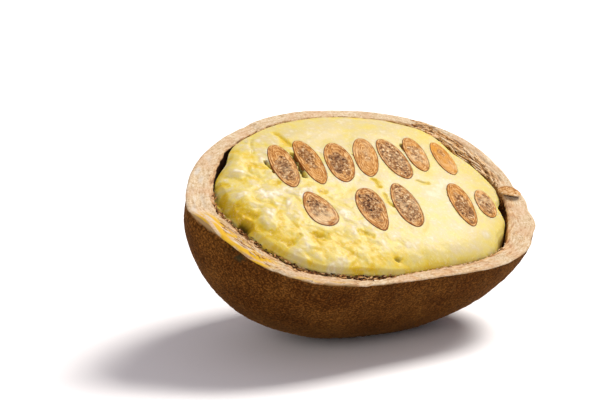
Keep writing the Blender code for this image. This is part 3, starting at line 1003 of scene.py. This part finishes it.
def seed_values(place, reach, turn, flat):
    """What the seed's material reads: distance to its edge, its core and how strong each tone is."""
    look = place.look
    turn = turn * np.ones_like(reach)
    per_reach = np.sqrt((np.cos(turn) / place.half_width) ** 2 + (np.sin(turn) / place.half_length) ** 2)
    edge = (1 - reach) / per_reach
    mean_radius = (place.half_width + place.half_length) / 2
    circle = mean_radius / 2.6 * np.cos(turn), mean_radius / 2.6 * np.sin(turn)
    around = stacked(*circle, edge / 0.7) + 5.0 * (place.seed % 11)
    lengthwise = reach * np.sin(turn)
    core_reach = np.hypot(reach * np.cos(turn), (lengthwise - look.shift) / (1 - 0.6 * abs(look.shift)))
    uneven = 0.3 * noise(flat, 3.2, place.seed + 2) + 0.16 * noise(flat, 1.5, place.seed + 3)
    core = ramp(core_reach + uneven, look.core + 0.14, look.core - 0.08) * ramp(edge, 0.8, 1.6)
    amber = np.clip(look.amber * (0.8 + 0.9 * noise(flat, 4.5, place.seed + 4)), 0, 1) * (1 - 0.7 * core)
    dusk = np.clip(look.dusk * (0.8 + 1.2 * noise(flat, 4.0, place.seed + 5)), 0, 1)
    pale = look.pale * bump(lengthwise, look.pale_at, 0.5) * ramp(noise(flat, 2.8, place.seed + 9), -0.5, 0.5)
    broken = ramp(noise(flat, 2.2, place.seed + 6), -0.5, 0.2)
    inner_line = 0.6 * bump(edge + 0.12 * noise(flat, 2.0, place.seed + 7), 1.25, 0.16) * broken
    wave = np.sin(edge * 5.2 + 1.4 * noise(flat, 3, place.seed + 8))
    growth = look.rings * 0.5 * ramp(wave, 0.3, 0.95) * ramp(edge, 1.4, 2.0) * (1 - core) * broken
    rings = np.maximum(inner_line, growth)
    values = {"edge": edge / look.skin, "around": around, "core": core, "amber": amber}
    return values | {"dusk": dusk, "rings": rings, "pale": pale}


def make_seed(place, material):
    """A cut seed as rings: the uneven section with a thin raised skin, and the round underside."""
    turn = full_turn(SEED_COLUMNS)
    reach = (1 - (1 - np.linspace(0, 1, SEED_TOP_ROWS + 1)[:, None]) ** 1.25) * np.ones_like(turn)
    fall = pi / 2 * even_steps(SEED_UNDER_ROWS)
    under_reach = np.cos(fall) * np.ones_like(turn)
    x, y = place.place(np.concatenate([reach, under_reach]), turn)
    flat = on_plane(x, y)
    values = seed_values(place, np.concatenate([reach, np.ones_like(under_reach)]), turn, flat)
    flat, core = flat[: len(reach)], values["core"][: len(reach)]
    folds = 0.2 * noise(flat, 1.6, place.seed) + 0.12 * noise(flat, 0.9, place.seed + 1)
    rise = folds * (0.25 + 0.75 * core) * ramp(reach, 0.97, 0.85)
    skin = 0.1 * bump(reach, 0.965, 0.025) - 0.22 * ramp(reach, 0.985, 1.0)
    under = -SKIN_DEPTH - (SEED_DEPTH - SKIN_DEPTH) * np.sin(fall) * np.ones_like(turn)
    grid = stacked(x, y, crown_height(x, y) + np.concatenate([SEED_RISE + rise + skin, under]))
    return add_ring_piece(f"cut_{place.name}", grid, [material], values, [place.name])


# Torn lining

SHRED_STATIONS = 8
SHRED_SIDES = 4


class Shreds(NamedTuple):
    """Shreds along the rim: angles, number, spread of their turn, and ranges in millimetres and of tint."""

    start: float
    end: float
    count: int
    yaw: float
    inward: tuple
    height: tuple
    length: tuple
    width: tuple
    tint: tuple


# The crumbly line at the front, the band at the blunt end with pale pieces over it, and thin rests elsewhere
SHREDS = (
    Shreds(176, 200, 110, 0.5, (-0.8, 2.2), (-2.4, -0.6), (0.8, 2.8), (0.4, 1.2), (-0.2, 0.3)),
    Shreds(200, 262, 520, 0.5, (-0.8, 3.6), (-2.2, -0.4), (0.8, 2.8), (0.4, 1.2), (-0.35, 0.3)),
    Shreds(262, 330, 70, 0.35, (-0.5, 0.6), (-1.2, -0.4), (0.8, 2.4), (0.3, 0.7), (0.1, 0.45)),
    Shreds(7, 37, 130, 0.22, (-4.2, 3.4), (-1.5, -0.2), (3.0, 9.0), (0.7, 1.5), (-0.05, 0.35)),
    Shreds(6, 36, 60, 0.22, (-4.2, 2.8), (-0.8, 0.1), (3.0, 10.0), (0.8, 1.8), (0.2, 0.5)),
    Shreds(-10, 6, 14, 0.4, (-1.5, 0.5), (-1.2, 0.0), (1.5, 4.0), (0.6, 1.6), (0.2, 0.5)),
    Shreds(166, 180, 60, 0.3, (-1.4, 1.0), (-1.8, -0.2), (1.2, 4.0), (0.3, 0.9), (-0.3, 0.15)),
    Shreds(70, 136, 70, 0.15, (-0.4, 0.3), (-1.6, -0.3), (1.5, 6.0), (0.25, 0.5), (-0.2, 0.25)),
    Shreds(188, 222, 60, 0.12, (-6.0, -1.0), (-0.5, 0.0), (2.0, 6.0), (0.3, 0.8), (0.15, 0.45)),
)


def shred_faces(count):
    """Faces of many closed strips, each a tube of rings with its two ends capped."""
    ring = np.arange(SHRED_SIDES)
    after = (ring + 1) % SHRED_SIDES
    start = np.arange(SHRED_STATIONS - 1)[:, None] * SHRED_SIDES
    tube = np.stack([ring, after, SHRED_SIDES + after, SHRED_SIDES + ring], axis=-1) + start[..., None]
    last = (SHRED_STATIONS - 1) * SHRED_SIDES
    one = np.concatenate([tube.reshape(-1, 4), ring[::-1][None], (last + ring)[None]])
    starts = np.arange(count)[:, None, None] * SHRED_STATIONS * SHRED_SIDES
    return (one[None] + starts).reshape(-1, 4).tolist()


def shred_points(start, along, side, up, size, curl):
    """Points of many strips: each runs through its start, bends by its curl and thins to both ends."""
    length, width, thickness = size
    step = np.linspace(-1, 1, SHRED_STATIONS)[None, :, None]
    taper = np.sqrt(np.maximum(0.02, 1 - np.abs(step) ** 2.5))
    bend = curl[:, None, :] * step**2
    line = start[:, None] + along[:, None] * step * length[:, None, None] / 2
    line = line + up[:, None] * bend[..., :1] + side[:, None] * bend[..., 1:] * step
    turn = full_turn(SHRED_SIDES)[None, ..., None]
    wide = side[:, None, None] * np.cos(turn) * (width[:, None, None, None] / 2)
    thick = up[:, None, None] * np.sin(turn) * (thickness[:, None, None, None] / 2)
    return line[:, :, None] + (wide + thick) * taper[:, :, None]


def shred_group(group, draw):
    """Points and tints of a group of shreds. They follow the rim's inner edge and keep clear of the holes."""
    angle = np.radians(draw.uniform(group.start, group.end, group.count))
    turn = np.arctan2(HALF_LENGTH * np.sin(angle), HALF_WIDTH * np.cos(angle))
    inner = fruit_surface(sunk_direction(turn, np.zeros(group.count)), RIND_WALLS)
    along = unit(fruit_surface(sunk_direction(turn + 0.01, np.zeros(group.count)), RIND_WALLS) - inner)
    inward = quarter_turn(along)
    inner = inner - inward * edge_shift(plan_angle(inner))[:, None]
    yaw = draw.normal(0, group.yaw, group.count)[:, None]
    along = along * np.cos(yaw) + inward * np.sin(yaw)
    side = quarter_turn(along)
    start = inner + inward * draw.uniform(*group.inward, group.count)[:, None]
    start[:, 2] = draw.uniform(*group.height, group.count)
    up = np.array([0, 0, 1.0]) + 0.3 * draw.normal(0, 1, (group.count, 1)) * side
    size = [draw.uniform(*group.length, group.count), draw.uniform(*group.width, group.count)]
    size.append(size[1] * draw.uniform(0.3, 0.6, group.count))
    curl = stacked(draw.normal(0, 0.3, group.count), draw.normal(0, 0.4, group.count))
    tint = draw.uniform(*group.tint, group.count)
    clear = hole_share(start[:, 0], start[:, 1]) < 0.05
    points = shred_points(start, along, side, up, size, curl)
    return points[clear].reshape(-1, 3), np.repeat(tint[clear], SHRED_STATIONS * SHRED_SIDES)


def make_lining():
    """All the shreds of torn lining between the rind and the pulp, as one piece."""
    draw = np.random.default_rng(20)
    groups = [shred_group(group, draw) for group in SHREDS]
    points = np.concatenate([group[0] for group in groups])
    tint = np.concatenate([group[1] for group in groups])
    faces = shred_faces(len(tint) // (SHRED_STATIONS * SHRED_SIDES))
    return add_piece("torn_lining", to_row(points), faces, [lining_material()], {"tint": tint})


# Splinter: its spine from root to tip, half its width there and its lift, in millimetres
SPLINTER = (
    (73.2, -1.6, -0.2, 1.4),
    (75.0, -2.6, 0.6, 3.2),
    (77.0, -3.8, 1.3, 4.0),
    (79.4, -5.2, 1.6, 3.8),
    (81.6, -6.6, 1.4, 2.8),
    (83.0, -7.6, 1.0, 1.3),
)
SPLINTER_STATIONS = 40
SPLINTER_SIDES = 32


def make_splinter():
    """A leaf of rind torn up at the blunt end with fibres, its raised edge painted pale as a highlight and
    its lower edge and underside painted dark as shade.
    """
    spine = np.array(SPLINTER)
    step = np.linspace(0, len(spine) - 1, SPLINTER_STATIONS)
    rows = [np.interp(step, np.arange(len(spine)), column) for column in spine.T]
    x, y, lift, half = (np.convolve(np.pad(row, 3, "edge"), np.ones(7) / 7, "valid") for row in rows)
    run = unit(stacked(np.gradient(x), np.gradient(y)))
    turn = full_turn(SPLINTER_SIDES)
    across = half[:, None] * np.cos(turn)
    closed = np.sqrt(np.clip(1 - np.linspace(-1, 1, SPLINTER_STATIONS) ** 8, 0, 1))[:, None]
    wide = across * closed
    fibre_place = stacked(across / 0.6, step[:, None], 0.0)
    fibre = 0.14 * noise(fibre_place, 1.0, 201) * closed
    arch = 0.5 * np.cos(turn) ** 2 + 0.55 * np.cos(turn)
    height = lift[:, None] - arch * closed * 0.9 + (0.55 * np.sin(turn) + fibre) * closed
    grid = stacked(x[:, None] - run[:, 1:] * wide, y[:, None] + run[:, :1] * wide, height)
    # Painted light: paler along the raised edge as a highlight, darker along the lower edge and underneath as
    # shade
    tint = 0.16 - 0.16 * np.cos(turn) + 0.18 * noise(fibre_place, 1.0, 202)
    tint = tint - 0.35 * ramp(np.sin(turn), 0.0, -0.4)
    return add_ring_piece("rind_splinter", grid, [lining_material()], {"tint": tint})


# Stage


def camera_axes():
    """The camera's right, up and backward directions in the row frame."""
    right = np.array([cos(CAMERA_AZIMUTH), sin(CAMERA_AZIMUTH), 0])
    backward = -quarter_turn(right) * cos(CAMERA_HEIGHT) + np.array([0, 0, sin(CAMERA_HEIGHT)])
    return right, np.cross(backward, right), backward


def make_camera():
    """A long lens at the photograph's angle, placed so that the cut face's middle falls on its pixel."""
    right, up, backward = camera_axes()
    data = bpy.data.cameras.new("photo_camera")
    data.sensor_width = SENSOR_MM
    data.lens = PIXELS_PER_MM * CAMERA_AWAY * SENSOR_MM / PHOTO_WIDTH
    data.clip_start = 0.05
    data.clip_end = 50
    camera = add_object("photo_camera", data)
    across, over = (pixels / PIXELS_PER_MM for pixels in MIDDLE_PIXEL)
    spot = (MIDDLE - across * right - over * up + CAMERA_AWAY * backward) * MM
    turn = Matrix([[right[row], up[row], backward[row]] for row in range(3)]).to_4x4()
    camera.matrix_world = Matrix.Translation(spot) @ turn
    bpy.context.scene.camera = camera


def add_light(name, spot, size, power, colour):
    """A square soft box that faces the fruit."""
    data = bpy.data.lights.new(name, "AREA")
    data.size = size
    data.energy = power
    data.color = linear_colour(colour)[:3]
    light = add_object(name, data)
    light.location = spot
    facing = Vector((0, 0, 0.04)) - Vector(spot)
    light.rotation_euler = facing.to_track_quat("-Z", "Y").to_euler()


def make_floor(colours):
    """A wide white board under the fruit."""
    size = 6.0
    mesh = bpy.data.meshes.new("studio_floor")
    corners = [(-size, -size, 0), (size, -size, 0), (size, size, 0), (-size, size, 0)]
    mesh.from_pydata(corners, [], [(0, 1, 2, 3)])
    mesh.materials.append(floor_material(colours))
    floor = add_object("studio_floor", mesh)


def make_world():
    """Even pale light from all round."""
    world = bpy.data.worlds.new("studio_air")
    world.use_nodes = True
    sky = world.node_tree.nodes["Background"]
    sky.inputs["Color"].default_value = linear_colour("#f6edf5")
    sky.inputs["Strength"].default_value = 0.4
    bpy.context.scene.world = world


# Add-on


def strength_property(name, description):
    """A strength that a user can change."""
    return bpy.props.FloatProperty(
        name=name, description=description, default=1.0, min=0, max=2, subtype="FACTOR"
    )


def colour_property(name, description, code):
    """A colour that a user can change."""
    return bpy.props.FloatVectorProperty(
        name=name, description=description, subtype="COLOR", size=4, min=0, max=1, default=linear_colour(code)
    )


class CupuacuSizes(bpy.types.PropertyGroup):
    """How uneven the fruit's surfaces are."""

    rim_roughness: strength_property("Rim roughness", "How ragged the cut rim is")
    felt_relief: strength_property("Felt relief", "How far clumps of hair stand out")
    pulp_relief: strength_property("Pulp relief", "How lumpy the pulp is")


class CupuacuColours(bpy.types.PropertyGroup):
    """The fruit's colours."""

    felt_dark: colour_property("Felt, dark", "Felt in its darker patches", "#47270b")
    felt_light: colour_property("Felt, light", "Felt in its lighter patches", "#593613")
    rim: colour_property("Rim", "Cut wood of the rind", "#cbb696")
    pulp: colour_property("Pulp", "Pulp where it is even", "#c7b889")
    pulp_deep: colour_property("Pulp, deep", "Pulp in its pits", "#ceb338")
    seed_margin: colour_property("Seed margin", "Kernel next to the seed's skin", "#b8803f")
    seed_skin: colour_property("Seed skin", "Thin skin round a seed", "#75401f")
    floor: colour_property("Floor", "Studio board", "#f8f8fa")


class CUPUACU_OT_rind(bpy.types.Operator):
    """Adds the felted rind"""

    bl_idname = "cupuacu.rind"
    bl_label = "Rind"

    def execute(self, context):
        make_rind(context.scene.cupuacu_sizes, context.scene.cupuacu_colours)
        return {"FINISHED"}


class CUPUACU_OT_lining(bpy.types.Operator):
    """Adds the torn lining and the splinter along the rim"""

    bl_idname = "cupuacu.lining"
    bl_label = "Torn lining"

    def execute(self, context):
        make_lining()
        make_splinter()
        return {"FINISHED"}


class CUPUACU_OT_pulp(bpy.types.Operator):
    """Adds the pulp with its sockets"""

    bl_idname = "cupuacu.pulp"
    bl_label = "Pulp"

    def execute(self, context):
        make_pulp(context.scene.cupuacu_sizes, context.scene.cupuacu_colours, find_seeds())
        return {"FINISHED"}


class CUPUACU_OT_seeds(bpy.types.Operator):
    """Adds the cut seeds"""

    bl_idname = "cupuacu.seeds"
    bl_label = "Seeds"

    def execute(self, context):
        material = seed_material(context.scene.cupuacu_colours)
        for place in find_seeds():
            make_seed(place, material)
        return {"FINISHED"}


class CUPUACU_OT_stage(bpy.types.Operator):
    """Adds the floor, the lights and the camera"""

    bl_idname = "cupuacu.stage"
    bl_label = "Stage"

    def execute(self, context):
        make_floor(context.scene.cupuacu_colours)
        make_world()
        add_light("key_light", (2.2, 0.15, 3.1), 1.5, 188, "#fffaf3")
        add_light("fill_light", (-1.7, -0.9, 0.9), 1.2, 13, "#fff8ee")
        make_camera()
        context.scene.view_settings.view_transform = "Standard"
        return {"FINISHED"}


class CUPUACU_PT_panel(bpy.types.Panel):
    """The fruit's settings and pieces"""

    bl_label = "Cupuacu"
    bl_idname = "CUPUACU_PT_panel"
    bl_space_type = "VIEW_3D"
    bl_region_type = "UI"
    bl_category = "Cupuacu"

    def draw(self, context):
        for group in (context.scene.cupuacu_sizes, context.scene.cupuacu_colours):
            for label in group.__annotations__:
                self.layout.prop(group, label)
        for operator in OPERATORS:
            self.layout.operator(operator.bl_idname)


OPERATORS = (CUPUACU_OT_rind, CUPUACU_OT_lining, CUPUACU_OT_pulp, CUPUACU_OT_seeds, CUPUACU_OT_stage)
CLASSES = (CupuacuSizes, CupuacuColours, *OPERATORS, CUPUACU_PT_panel)


def register():
    """Adds the classes and the scene's settings."""
    for item in CLASSES:
        bpy.utils.register_class(item)
    bpy.types.Scene.cupuacu_sizes = bpy.props.PointerProperty(type=CupuacuSizes)
    bpy.types.Scene.cupuacu_colours = bpy.props.PointerProperty(type=CupuacuColours)


def unregister():
    """Takes them away again."""
    del bpy.types.Scene.cupuacu_colours
    del bpy.types.Scene.cupuacu_sizes
    for item in reversed(CLASSES):
        bpy.utils.unregister_class(item)


def main():
    """Makes every piece."""
    register()
    bpy.ops.cupuacu.rind()
    bpy.ops.cupuacu.lining()
    bpy.ops.cupuacu.pulp()
    bpy.ops.cupuacu.seeds()
    bpy.ops.cupuacu.stage()


if __name__ == "__main__":
    main()
